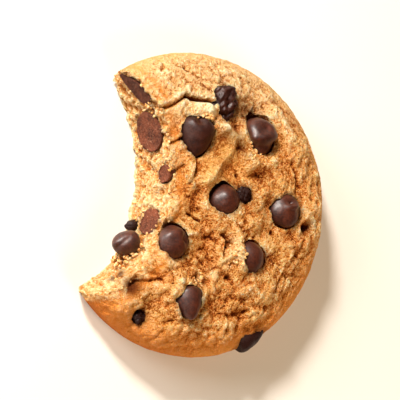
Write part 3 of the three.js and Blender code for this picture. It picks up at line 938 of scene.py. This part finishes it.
HEAPS = [
    (-17.4, -8.2, 5, 1.1, 110, 0.5), (-18.6, -7.9, 4, 0.6, 40, 0.45), (-16, -7.9, 6.6, 0.7, 40, 0.45),
    (4.3, -10, 12.9, 0.9, 45, 0.4), (3.9, -12.2, 12.6, 0.8, 26, 0.35), (5.2, -8.2, 13, 0.6, 20, 0.35),
    (10.6, 9.6, 12.2, 0.7, 24, 0.35), (12.4, 8.5, 11.9, 0.6, 14, 0.3), (-4.9, -14.6, 12.9, 0.6, 24, 0.4),
    (0, 16.6, 14.1, 0.7, 26, 0.35), (2, 15.3, 13.4, 0.5, 16, 0.3), (-11.4, 19.8, 9, 0.7, 22, 0.3),
    (-12.4, -4.8, 7, 0.7, 26, 0.35), (-13.3, -0.9, 5, 0.7, 18, 0.3), (-13, -2.3, 1.6, 0.7, 16, 0.3),
    (-9.2, 11.6, 6.5, 0.8, 24, 0.3), (-8.6, 8.2, 11.3, 0.9, 22, 0.3), (-15, -5.4, 4.2, 0.6, 18, 0.3),
]


def heap_places(x, y, z, spread, count, largest):
    """Bell-shaped scatter about the middle of a heap, each crumb then moved onto the nearest point
    of the dough so that none hangs in the air."""
    thrown = draws.normal((x, y, z), spread, (count, 3))
    near = dough_points[np.linalg.norm(dough_points - [x, y, z], axis=1) < 4 * spread + 1.5]
    closest = np.argmin(np.linalg.norm(thrown[:, None] - near[None], axis=2), axis=1)
    share = draws.uniform(0.0, 0.45, (count, 1))
    sizes = largest * (0.4 + 0.6 * draws.random(count) ** 1.5)
    return near[closest] * (1 - share) + thrown * share, sizes


on_wall = (depth_in_wall > WALL_FROM_DEPTH) & (dough_points[:, 2] > WALL_FROM_LEVEL)
places = [wall_places(dough, on_wall)] + [heap_places(*heap) for heap in HEAPS]
centres = np.vstack([centre for centre, _ in places])
sizes = np.concatenate([size for _, size in places])
crumbs = make_object("loose_crumbs", *crumb_swarm(centres, sizes))
print("crumbs:", len(sizes))

# %% [markdown]
# ## Writing materials as sums
# A finish is a sum of simple patterns. To write it like one, a small class wraps a shader socket so
# that adding or multiplying two of them adds the Math node that does it. Colours never go through
# Math nodes, which would turn them grey, but through Mix nodes.

# %% A class for sums of sockets


class Amount:
    """A number that varies over the surface: a socket whose operators add Math nodes."""

    def __init__(self, finish, socket):
        self.finish = finish
        self.socket = socket

    def maths(self, operation, *values, clamp=False):
        """The Math node of that operation on these values."""
        settings = {"operation": operation, "use_clamp": clamp}
        node = self.finish.node("ShaderNodeMath", settings, dict(enumerate(values)))
        return Amount(self.finish, node.outputs[0])

    def __add__(self, other):
        return self.maths("ADD", self, other)

    __radd__ = __add__

    def __sub__(self, other):
        return self.maths("SUBTRACT", self, other)

    def __rsub__(self, other):
        return self.maths("SUBTRACT", other, self)

    def __mul__(self, other):
        return self.maths("MULTIPLY", self, other)

    __rmul__ = __mul__

    def clamp(self):
        """Held between 0 and 1."""
        return self.maths("ADD", self, 0.0, clamp=True)


def colour(red, green, blue):
    """Screen values from 0 to 255 as the linear values that Blender takes: each divided by 12.92
    where it is very dark, and else raised to the power 2.4 after a small shift."""
    screen = np.array([red, green, blue]) / 255
    linear = np.where(screen <= 0.04045, screen / 12.92, ((screen + 0.055) / 1.055) ** 2.4)
    return (*linear.tolist(), 1.0)


# %% A class for finishes


class Finish:
    """A node material with one Principled surface."""

    def __init__(self, name):
        self.material = bpy.data.materials.new(name)
        self.material.use_nodes = True
        self.tree = self.material.node_tree
        self.tree.nodes.clear()
        self.surface = self.node("ShaderNodeBsdfPrincipled")
        self.node("ShaderNodeOutputMaterial", inputs={"Surface": self.surface.outputs[0]})

    def node(self, kind, settings=None, inputs=None):
        """Adds a node, sets its settings first, then each socket to a value or a link."""
        node = self.tree.nodes.new(kind)
        for name, value in (settings or {}).items():
            if name == "stops":
                self.set_stops(node.color_ramp, value)
            else:
                setattr(node, name, value)
        for key, value in (inputs or {}).items():
            self.feed(node.inputs[key], value)
        return node

    def feed(self, socket, value):
        """Links the value to the socket, or writes it there where it is a constant."""
        value = value.socket if isinstance(value, Amount) else value
        if isinstance(value, bpy.types.NodeSocket):
            self.tree.links.new(value, socket)
        else:
            socket.default_value = value

    def set_stops(self, ramp, stops):
        """Gives a colour ramp its stops, which are pairs of a place from 0 to 1 and a colour."""
        while len(ramp.elements) < len(stops):
            ramp.elements.new(0.5)
        for element, (place, shade) in zip(ramp.elements, stops):
            element.position = place
            element.color = shade

    def attribute(self, name):
        """The number that is stored with the mesh's points under this name."""
        return Amount(self, self.node("ShaderNodeAttribute", {"attribute_name": name}).outputs["Fac"])

    def texture(self, kind, output, size_mm, **inputs):
        """A solid texture fixed to the object, with patches of this size."""
        place = self.node("ShaderNodeTexCoord").outputs["Object"]
        inputs = {"Vector": place, "Scale": 1 / (size_mm * MM), **inputs}
        return Amount(self, self.node(kind, inputs=inputs).outputs[output])

    def noise(self, size_mm, detail=3.0, roughness=0.6):
        """Soft noise about 0.5."""
        kind = "ShaderNodeTexNoise"
        return self.texture(kind, "Fac", size_mm, Detail=detail, Roughness=roughness)

    def cells(self, size_mm):
        """The distance to the nearest of scattered points."""
        return self.texture("ShaderNodeTexVoronoi", "Distance", size_mm)

    def spread(self, value, low, high):
        """0 at low, 1 at high, straight between and held outside."""
        inputs = {"Value": value, "From Min": low, "From Max": high}
        return Amount(self, self.node("ShaderNodeMapRange", {"clamp": True}, inputs).outputs[0])

    def ramp(self, value, stops):
        """The colour that the ramp has at the value."""
        return self.node("ShaderNodeValToRGB", {"stops": stops}, {0: value}).outputs[0]

    def mix(self, share, first, second):
        """The first colour where the share is 0 and the second where it is 1."""
        node = self.node("ShaderNodeMix", {"data_type": "RGBA"}, {0: share, 6: first, 7: second})
        return node.outputs[2]

    def relief(self, height, depth_mm):
        """Bends the surface's shading as if it rose by height times the depth."""
        inputs = {"Height": height, "Distance": depth_mm * MM, "Strength": 1.0}
        self.feed(self.surface.inputs["Normal"], self.node("ShaderNodeBump", inputs=inputs).outputs[0])

    def set(self, **values):
        """Feeds the surface's sockets, whose spaces are written as underscores."""
        for name, value in values.items():
            self.feed(self.surface.inputs[name.replace("_", " ")], value)


# %% [markdown]
# ## The finish of the baked dough
# The lumps are pale gold with fine dark specks, and the creases, valleys and pits are painted orange
# brown, which is painted shade and partly a browner crust. Some patches are yellower, and the upper end
# is painted paler, which is painted light and partly a paler crust. The edge of the bite baked a darker
# gold, and the lower rim is painted the same darker gold as shade. The side is an even gold, darker
# towards the foot and painted darker still at its lower left as shade. The bitten crumb is pale cream
# with painted shade in its creases, and the dough beside the chips and in some hollows is painted dark
# brown, partly smeared chocolate and partly painted shade. A little light goes into dough and comes out
# again close by, which subsurface scattering gives.

# %% Colours of the dough


def stops(*rows):
    """A ramp's stops from rows of a place from 0 to 1 and the screen values of its colour."""
    return [(place, colour(*shade)) for place, *shade in rows]


YELLOW_STOPS = stops(
    (0.0, 255, 238, 192), (0.2, 250, 216, 154), (0.5, 238, 182, 104), (0.73, 194, 116, 40),
    (0.95, 108, 50, 14))
# Paler ramp for the upper end: painted light, partly a paler crust.
UPPER_STOPS = stops(
    (0.0, 255, 236, 196), (0.2, 250, 218, 166), (0.5, 240, 188, 126), (0.73, 204, 132, 68),
    (0.95, 130, 66, 24))
CRUST_STOPS = stops(
    (0.0, 255, 236, 196), (0.2, 250, 210, 150), (0.5, 238, 165, 88), (0.73, 190, 100, 35),
    (0.95, 96, 36, 6))
CRUMB_STOPS = stops((0.0, 255, 228, 174), (0.6, 232, 162, 88), (1.0, 190, 100, 35))
SIDE_STOPS = stops((0.0, 178, 98, 38), (0.7, 238, 140, 54), (1.0, 246, 174, 94))
# Darker gold of the crust along the bite's edge, and of the painted shade on the lower rim.
RIM_GOLD = colour(236, 142, 56)
# Paler side at the upper end: painted light.
SIDE_UPPER = colour(238, 168, 92)
# Painted shade on the lower left of the side.
SIDE_SHADE = colour(206, 104, 32)
# Dark brown of smeared chocolate and of painted shade beside chips and in hollows.
SMEAR_AND_SHADE_BROWN = colour(78, 24, 8)
SCATTER_DEPTH = 0.7 * MM

# %% Dough material


def crust_colour(finish, tone, pale, melted, browned):
    """Three ramps over the same tone, mixed by where it is yellow and where pale, the paler upper end
    being painted light and partly a paler crust, then turned darker gold along the bite's edge, where
    the crust baked darker, and on the lower rim, where it is painted shade.
    """
    yellow = finish.spread(finish.noise(4.2), 0.46, 0.64) * 0.5 + melted * 0.4
    crust = finish.ramp(tone, CRUST_STOPS)
    crust = finish.mix(yellow.clamp(), crust, finish.ramp(tone, YELLOW_STOPS))
    crust = finish.mix(pale * 0.85, crust, finish.ramp(tone, UPPER_STOPS))
    return finish.mix(browned * 0.8, crust, RIM_GOLD)


def side_colour(finish, tone, pale, toasted):
    """One ramp from the foot upwards, painted paler at the upper end as light, and painted darker at the
    lower left as shade.
    """
    side = finish.ramp(finish.spread(tone, 0.0, 6.0), SIDE_STOPS)
    side = finish.mix(pale * 0.55, side, SIDE_UPPER)
    return finish.mix(toasted * 0.75, side, SIDE_SHADE)


def dough_finish():
    """Dough that is light where it is high and brown where it is low, which is painted shade in the
    creases, valleys and pits and partly a browner crust: the tone adds the stored creases and valleys,
    slow patches, the fine height and specks."""
    finish = Finish("baked_dough")
    level, crease, valley = map(finish.attribute, ("level", "crease", "valley"))
    stain, spots, bitten = map(finish.attribute, ("stain", "spots", "bitten"))
    pale, melted, browned, toasted = map(finish.attribute, ("pale", "melted", "browned", "toasted"))
    patches = finish.noise(7.0) - 0.5
    grain = finish.noise(0.55, 4.0, 0.75) - 0.5
    specks = finish.noise(0.3, 2.0, 0.7) - 0.5
    pits = finish.spread(finish.cells(2.2), 0.11, 0.04)
    height = grain * 1.2 - 0.5 * finish.cells(0.6) - 0.8 * pits - specks * 0.7
    # Creases and valleys make the tone darker and browner: painted shade, partly a browner crust. Low
    # points of the fine height turn browner too: painted shade in the pits.
    tone = crease * (3.2 + pale * 1.4) + valley * 1.3 + patches * 0.6
    tone = tone - height * 1.4 + specks * (4.3 - melted * 2.2) - pale * 0.1 - 0.1
    crust = crust_colour(finish, finish.spread(tone, -1.7, 1.7), pale, melted, browned)
    side = side_colour(finish, level + patches * 3.0 + height * 4.0 - specks * 9.0, pale, toasted)
    crust = finish.mix(finish.spread(level, 9.5, 3.0), crust, side)
    # The bitten crumb turns darker in its creases: painted shade.
    crumb = finish.spread(crease * 4.0 - height * 1.6 + specks * 1.8 - spots * 0.5, -0.6, 1.5)
    dry = finish.mix(bitten, crust, finish.ramp(crumb, CRUMB_STOPS))
    finish.set(
        Base_Color=finish.mix(stain * 0.85, dry, SMEAR_AND_SHADE_BROWN),
        Roughness=0.72, Specular_IOR_Level=0.05, Subsurface_Weight=0.14,
        Subsurface_Radius=(0.9, 0.4, 0.15), Subsurface_Scale=SCATTER_DEPTH,
    )
    finish.relief(height, 0.9)
    return finish.material


def crumb_finish():
    """The bitten crumb's ramp over one fine noise."""
    finish = Finish("pale_crumb")
    grain = finish.noise(0.7, 4.0, 0.8)
    finish.set(
        Base_Color=finish.ramp(finish.spread(grain, 0.36, 0.66), CRUMB_STOPS),
        Roughness=0.8, Specular_IOR_Level=0.12, Subsurface_Weight=0.2,
        Subsurface_Radius=(0.9, 0.45, 0.2), Subsurface_Scale=SCATTER_DEPTH,
    )
    finish.relief(grain, 0.5)
    return finish.material


dough_material, crumb_material = dough_finish(), crumb_finish()
print("nodes of the dough's material:", len(dough_material.node_tree.nodes))

# %% [markdown]
# ## The finish of the chocolate
# Outside, a chip that has been through the oven is satin: a coat over a dull brown, strongest where
# the bloom is and weakest on the crushed, dark chips. Where teeth went through there is no coat, and
# the chocolate is rough and shows its paler grain.

# %% Chocolate material
CHOCOLATE_BLACK = colour(36, 12, 6)
CHOCOLATE_DARK = colour(46, 16, 7)
CHOCOLATE_BROWN = colour(82, 35, 17)
CHOCOLATE_CUT = colour(132, 71, 46)
CHOCOLATE_CUT_DARK = colour(50, 20, 11)
CHOCOLATE_CHALK = colour(196, 146, 112)


def outside_colour(finish, bloom, grain, dark):
    """Dark to brown with bloom and grain, and nearly black by the chip's own darkness."""
    share = finish.spread(bloom + grain * 1.1, 0.86, 1.22)
    outside = finish.mix(share, CHOCOLATE_DARK, CHOCOLATE_BROWN)
    return finish.mix(dark, outside, CHOCOLATE_BLACK)


def inside_colour(finish, broken, dark):
    """Two browns by a fine and a slow noise, with chalky specks."""
    share = finish.spread(broken + finish.noise(3.2, 2.0) * 0.8, 0.62, 1.12)
    inside = finish.mix(share, CHOCOLATE_CUT_DARK, CHOCOLATE_CUT)
    specks = finish.spread(finish.noise(0.22, 1.0), 0.64, 0.76) * 0.7
    inside = finish.mix(specks, inside, CHOCOLATE_CHALK)
    return finish.mix(dark, inside, CHOCOLATE_CUT_DARK)


def chocolate_finish():
    """The outside and the bitten colour by the stored share, under a coat that fades on both the
    bitten face and the dark chips."""
    finish = Finish("chocolate")
    bitten, dark = finish.attribute("bitten"), finish.attribute("dark")
    bloom = finish.noise(2.2)
    grain = finish.noise(0.35, 3.0, 0.7)
    broken = finish.noise(0.5, 4.0, 0.7)
    outside = outside_colour(finish, bloom, grain, dark)
    finish.set(
        Base_Color=finish.mix(bitten, outside, inside_colour(finish, broken, dark)),
        Roughness=0.6, Specular_IOR_Level=0.12, Coat_Roughness=0.4, Coat_IOR=1.42,
        Coat_Weight=((1 - bitten) * (1 - dark * 0.85) * (0.5 + bloom)).clamp(),
    )
    finish.relief(grain * 1.5 + broken * (bitten + dark) * 2.6, 0.14)
    return finish.material


chocolate_material = chocolate_finish()
print("nodes of the chocolate's material:", len(chocolate_material.node_tree.nodes))

# %% [markdown]
# ## Giving every piece its finish and its place
# Each piece hides the solid that it stands for and rides on the one body that there is. All chips share
# one material, since what differs from chip to chip is stored with their points.

# %% Dress the pieces


def dress(piece, material, slot, *nodes):
    """Gives the piece its material, hangs it on the root body and hides the solids that it stands for.
    The slot is not used.
    """
    piece.data.materials.clear()
    piece.data.materials.append(material)
    piece.data.shade_smooth()
    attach(piece, "root")
    if nodes:
        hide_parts(*nodes)


dress(dough, dough_material, "baked_dough", "dough")
dress(crumbs, crumb_material, "baked_dough")
for name, piece in chocolate.items():
    dress(piece, chocolate_material, "chocolate", name)
print("dressed", 2 + len(chocolate), "pieces")

# %% [markdown]
# ## Floor and light
# The cookie lies on a plain pale floor. The photo's light comes from the top of the picture, so the
# strongest lamp stands there, and a lower one beside it lights the bite. A weak one opposite opens
# the shadows. The chips' broad sheen is a lamp of its own that only glossy surfaces show, because
# one lamp bright enough for the sheen would bleach the dough.

# %% Floor, lamps and sky
FLOOR_SIZE = 3.0
FLOOR_DROP = 0.02
FLOOR_COLOUR = colour(236, 232, 226)
FLOOR_SHADE = colour(232, 228, 222)
BITE_SIDE = (-0.8, 0.52, 0.38)
LAMPS = [
    ("key", (-0.42, 0.72, 0.52), 0.6, 0.1, 6.1, (1.0, 0.94, 0.86), True, True),
    ("side", BITE_SIDE, 0.5, 0.26, 1.9, (0.98, 0.97, 0.96), False, True),
    ("sheen", BITE_SIDE, 0.5, 0.3, 6.8, (1.0, 0.95, 0.9), True, False),
    ("fill", (0.3, -0.75, 0.6), 0.6, 0.4, 3.1, (1.0, 0.78, 0.54), False, True),
]
SKY_COLOUR = (1.0, 0.7, 0.48, 1.0)
SKY_STRENGTH = 0.08


def make_floor():
    """Two large triangles just under the cookie, with a finish of two close whites."""
    corners = np.array([(-1, -1, 0), (1, -1, 0), (1, 1, 0), (-1, 1, 0)]) * FLOOR_SIZE / 2 / MM
    floor = make_object("floor", corners - [0, 0, FLOOR_DROP], np.array([[0, 1, 2], [0, 2, 3]]))
    finish = Finish("floor")
    patches = finish.spread(finish.noise(60.0, 2.0), 0.3, 0.7)
    finish.set(Base_Color=finish.mix(patches, FLOOR_COLOUR, FLOOR_SHADE), Roughness=0.9)
    floor.data.materials.append(finish.material)


def make_lamp(name, direction, distance, size, watts, tint, glossy, diffuse):
    """A round lamp at that distance in that direction, which faces the frame's origin. The last two
    say whether glossy and diffuse surfaces show it."""
    data = bpy.data.lights.new(name, "AREA")
    data.shape = "DISK"
    data.size, data.energy, data.color = size, watts, tint
    lamp = bpy.data.objects.new(name, data)
    direction = Vector(direction).normalized()
    lamp.location = direction * distance
    lamp.rotation_euler = direction.to_track_quat("Z", "Y").to_euler()
    lamp.visible_glossy, lamp.visible_diffuse = glossy, diffuse
    bpy.context.scene.collection.objects.link(lamp)


def make_sky():
    """A faint warm light from all around."""
    world = bpy.data.worlds.new("sky")
    world.use_nodes = True
    background = world.node_tree.nodes["Background"]
    background.inputs["Color"].default_value = SKY_COLOUR
    background.inputs["Strength"].default_value = SKY_STRENGTH
    bpy.context.scene.world = world


make_floor()
for lamp in LAMPS:
    make_lamp(*lamp)
make_sky()
bpy.context.scene.view_settings.view_transform = "Standard"
print("lamps:", [lamp[0] for lamp in LAMPS])
